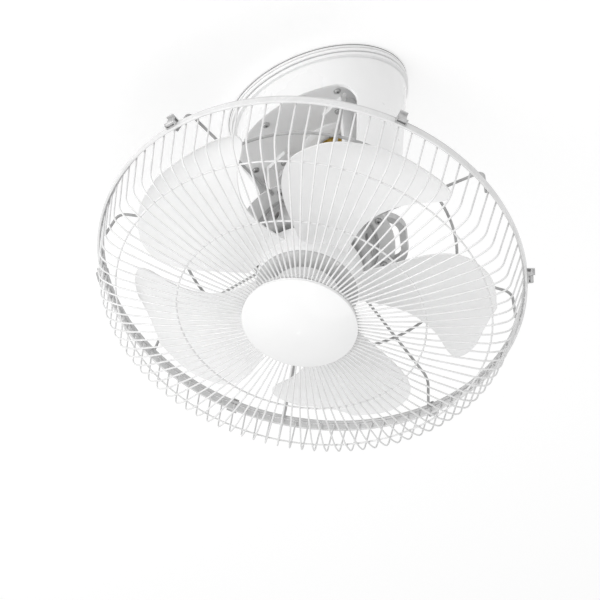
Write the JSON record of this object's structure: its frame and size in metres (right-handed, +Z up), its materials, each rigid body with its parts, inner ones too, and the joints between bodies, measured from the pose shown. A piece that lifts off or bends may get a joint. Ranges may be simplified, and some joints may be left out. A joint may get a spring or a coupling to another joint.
{
  "type": "orbit ceiling fan",
  "caption": "Caged orbit fan for a ceiling: round flange, leaning hood that turns on a fixed spindle, tilting motor head, wire guards and a moulded blade set.",
  "frame": {"origin": "centre of the ceiling face of the flange and plate", "axes": "+Z up, out of the ceiling face; the fan head hangs below and is tilted towards -Y"},
  "size_m": [0.4322, 0.4079, 0.39],
  "materials": {
    "white_enamel": "gloss",
    "hood_white": "gloss",
    "blade_white": "satin",
    "badge_white": "gloss",
    "web_grey": "satin",
    "cast_grey": "satin",
    "steel": "satin",
    "rear_wire_grey": "satin",
    "clip_steel": "satin",
    "brass": "satin",
    "copper": "satin",
    "iron": "matte",
    "gear_nylon": "satin",
    "black_plastic": "matte",
    "rubber": "matte"
  },
  "bodies": {
    "ceiling": {"ceiling_plate": "steel", "ceiling_flange": "hood_white", "spindle": "steel", "spindle_screws": "steel", "sun_gear": "gear_nylon", "slip_ring_core": "black_plastic", "slip_rings": "brass", "spindle_nut": "brass", "thrust_washer": "steel", "terminal_block": "black_plastic"},
    "hood_carriage": {"hood": "hood_white", "bearing_web": "web_grey", "web_screws": "steel", "bearing_cup": "web_grey", "spindle_bush": "brass", "swing_motor": "steel", "swing_motor_screws": "steel", "brush_block": "black_plastic", "brushes": "copper", "run_capacitor": "black_plastic", "yoke_arm_left": "web_grey", "yoke_arm_right": "web_grey", "yoke_screws": "steel"},
    "pinion": {"drive_pinion": "gear_nylon"},
    "head": {"motor_front_housing": "cast_grey", "motor_rear_housing": "cast_grey", "stator_core": "iron", "stator_windings": "copper", "front_bearing": "steel", "rear_bearing": "steel", "motor_screws": "steel", "cable_gland": "rubber", "pivot_bolts": "steel", "guard_carrier": "cast_grey", "rear_guard_hub": "white_enamel", "guard_screws": "steel", "rear_guard_spokes": "rear_wire_grey", "rear_guard_ring": "rear_wire_grey", "rear_guard_rim": "rear_wire_grey", "front_rim_band": "white_enamel", "front_guard_wires": "white_enamel", "front_guard_rings": "white_enamel", "badge": "badge_white", "badge_plate": "white_enamel", "badge_screws": "steel", "clip_brackets": "clip_steel"},
    "fan": {"motor_shaft": "steel", "rotor_core": "iron", "fan_blades": "blade_white", "spinner_nut": "hood_white"},
    "clip_1": {"rim_clip_1": "clip_steel"},
    "clip_2": {"rim_clip_2": "clip_steel"},
    "clip_3": {"rim_clip_3": "clip_steel"},
    "clip_4": {"rim_clip_4": "clip_steel"},
    "clip_5": {"rim_clip_5": "clip_steel"},
    "clip_6": {"rim_clip_6": "clip_steel"}
  },
  "joints": [
    {"name": "orbit", "type": "hinge", "parent": "ceiling", "child": "hood_carriage", "pos_m": [0, 0, -0.05], "axis": [0, 0, 1], "continuous": true},
    {"name": "pinion_spin", "type": "hinge", "parent": "hood_carriage", "child": "pinion", "pos_m": [0, 0.042, -0.017], "axis": [0, 0, 1], "continuous": true},
    {"name": "head_tilt", "type": "hinge", "parent": "hood_carriage", "child": "head", "pos_m": [0, -0.066, -0.174], "axis": [-1, 0, 0], "range_deg": [-30, 20]},
    {"name": "fan_spin", "type": "hinge", "parent": "head", "child": "fan", "pos_m": [0, -0.10839, -0.24184], "axis": [0, 0.5299, 0.848], "continuous": true},
    {"name": "clip_1_lift", "type": "hinge", "parent": "head", "child": "clip_1", "pos_m": [0.15535, 0.02335, -0.32417], "axis": [-0.7071, 0.5997, -0.3747], "range_deg": [0, 100]},
    {"name": "clip_2_lift", "type": "hinge", "parent": "head", "child": "clip_2", "pos_m": [-0.05686, 0.07157, -0.3543], "axis": [-0.9659, -0.2195, 0.1372], "range_deg": [0, 100]},
    {"name": "clip_3_lift", "type": "hinge", "parent": "head", "child": "clip_3", "pos_m": [-0.21221, -0.06017, -0.27198], "axis": [-0.2588, -0.8192, 0.5119], "range_deg": [0, 100]},
    {"name": "clip_4_lift", "type": "hinge", "parent": "head", "child": "clip_4", "pos_m": [-0.15535, -0.24014, -0.15952], "axis": [0.7071, -0.5997, 0.3747], "range_deg": [0, 100]},
    {"name": "clip_5_lift", "type": "hinge", "parent": "head", "child": "clip_5", "pos_m": [0.05686, -0.28836, -0.12939], "axis": [0.9659, 0.2195, -0.1372], "range_deg": [0, 100]},
    {"name": "clip_6_lift", "type": "hinge", "parent": "head", "child": "clip_6", "pos_m": [0.21221, -0.15662, -0.21171], "axis": [0.2588, 0.8192, -0.5119], "range_deg": [0, 100]}
  ],
  "couplings": [
    {"joint": "pinion_spin", "follows": "orbit", "ratio": 2.5}
  ]
}
